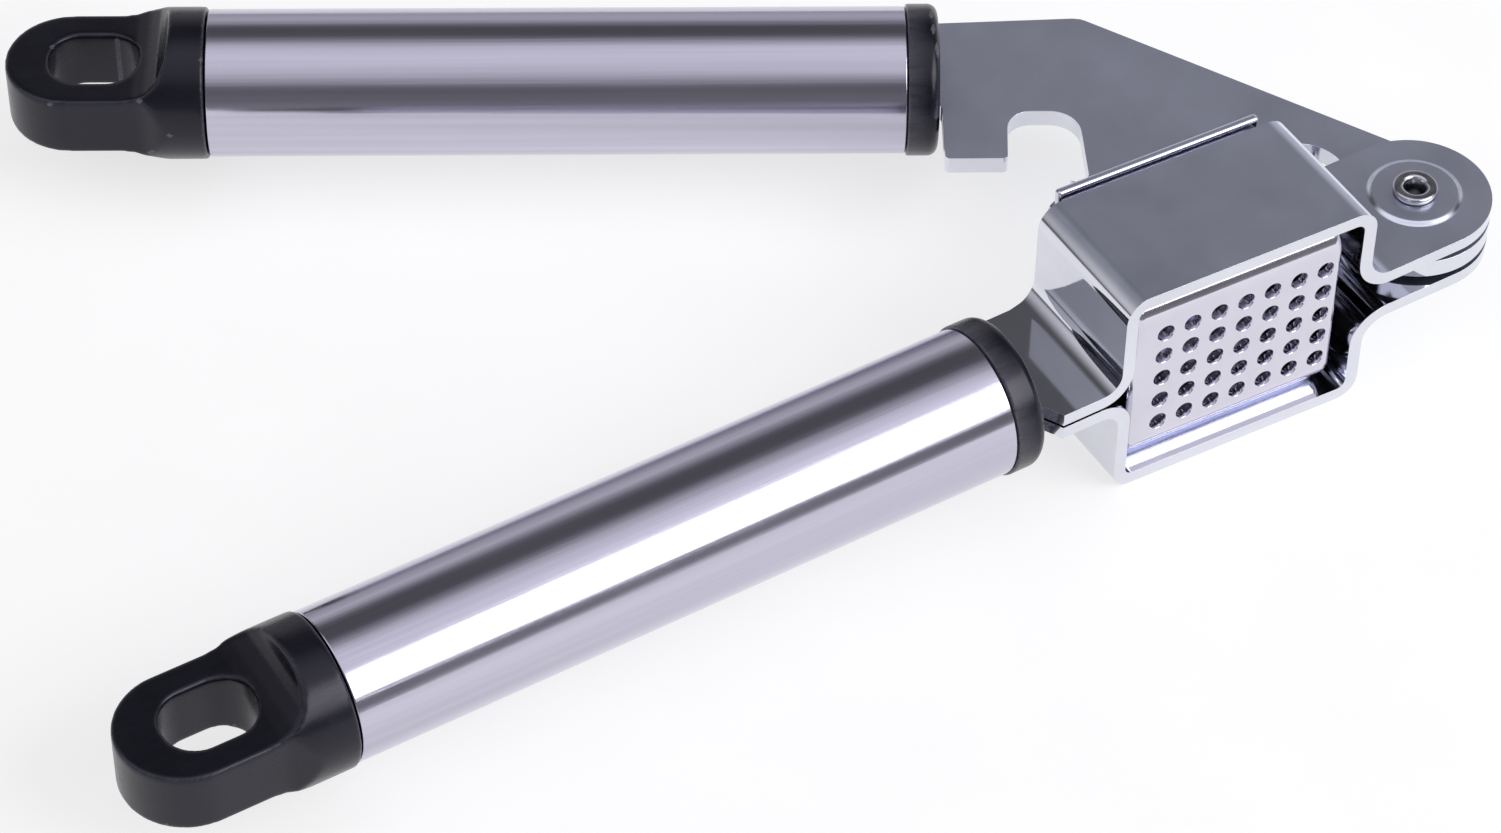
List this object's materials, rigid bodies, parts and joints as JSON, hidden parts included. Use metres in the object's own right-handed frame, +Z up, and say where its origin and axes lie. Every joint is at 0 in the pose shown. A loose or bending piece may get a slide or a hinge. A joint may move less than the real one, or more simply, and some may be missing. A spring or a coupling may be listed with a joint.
{
  "type": "garlic press",
  "caption": "Hand garlic press with a perforated basket held between two bent steel strips, a pinned plunger on a swinging arm, and tubular handles with slotted plastic end caps.",
  "frame": {"origin": "middle of the flat outer face of the lower side strip, the face the press lies on, under the basket; the pivot axis stands 32 mm away along +X", "axes": "+Z up, parallel to the pivot axis; -X along the frame handle; +Y towards the open loading side of the basket"},
  "size_m": [0.1904, 0.1262, 0.032],
  "materials": {
    "strip_steel": "polished plate with soft edges",
    "basket_steel": "pressed sheet, bright",
    "rivet_steel": "bright turned steel",
    "tube_steel": "fine lengthwise polish",
    "cap_plastic": "satin moulded black"
  },
  "bodies": {
    "frame": {"side_strip_upper": "strip_steel", "side_strip_lower": "strip_steel", "garlic_basket": "basket_steel", "pivot_rivet": "rivet_steel", "pivot_shim_upper": "rivet_steel", "pivot_shim_lower": "rivet_steel", "frame_handle_tube": "tube_steel", "frame_collar": "cap_plastic", "frame_tang_pin": "rivet_steel", "frame_end_cap": "cap_plastic"},
    "arm": {"press_arm_plate": "strip_steel", "arm_handle_tube": "tube_steel", "arm_collar": "cap_plastic", "arm_tang_pin": "rivet_steel", "arm_end_cap": "cap_plastic"},
    "plunger_head": {"plunger": "basket_steel", "plunger_pin": "rivet_steel"}
  },
  "joints": [
    {"name": "arm_hinge", "type": "hinge", "parent": "frame", "child": "arm", "pos_m": [0.032, 0, 0.016], "axis": [0, 0, -1], "range_deg": [-27.9, 149.7]},
    {"name": "plunger_swing", "type": "hinge", "parent": "arm", "child": "plunger_head", "pos_m": [0.00383, 0.01601, 0.016], "axis": [0, 0, -1], "range_deg": [-37.5, 7]}
  ],
  "couplings": [
    {"joint": "plunger_swing", "follows": "arm_hinge", "ratio": -0.25}
  ]
}
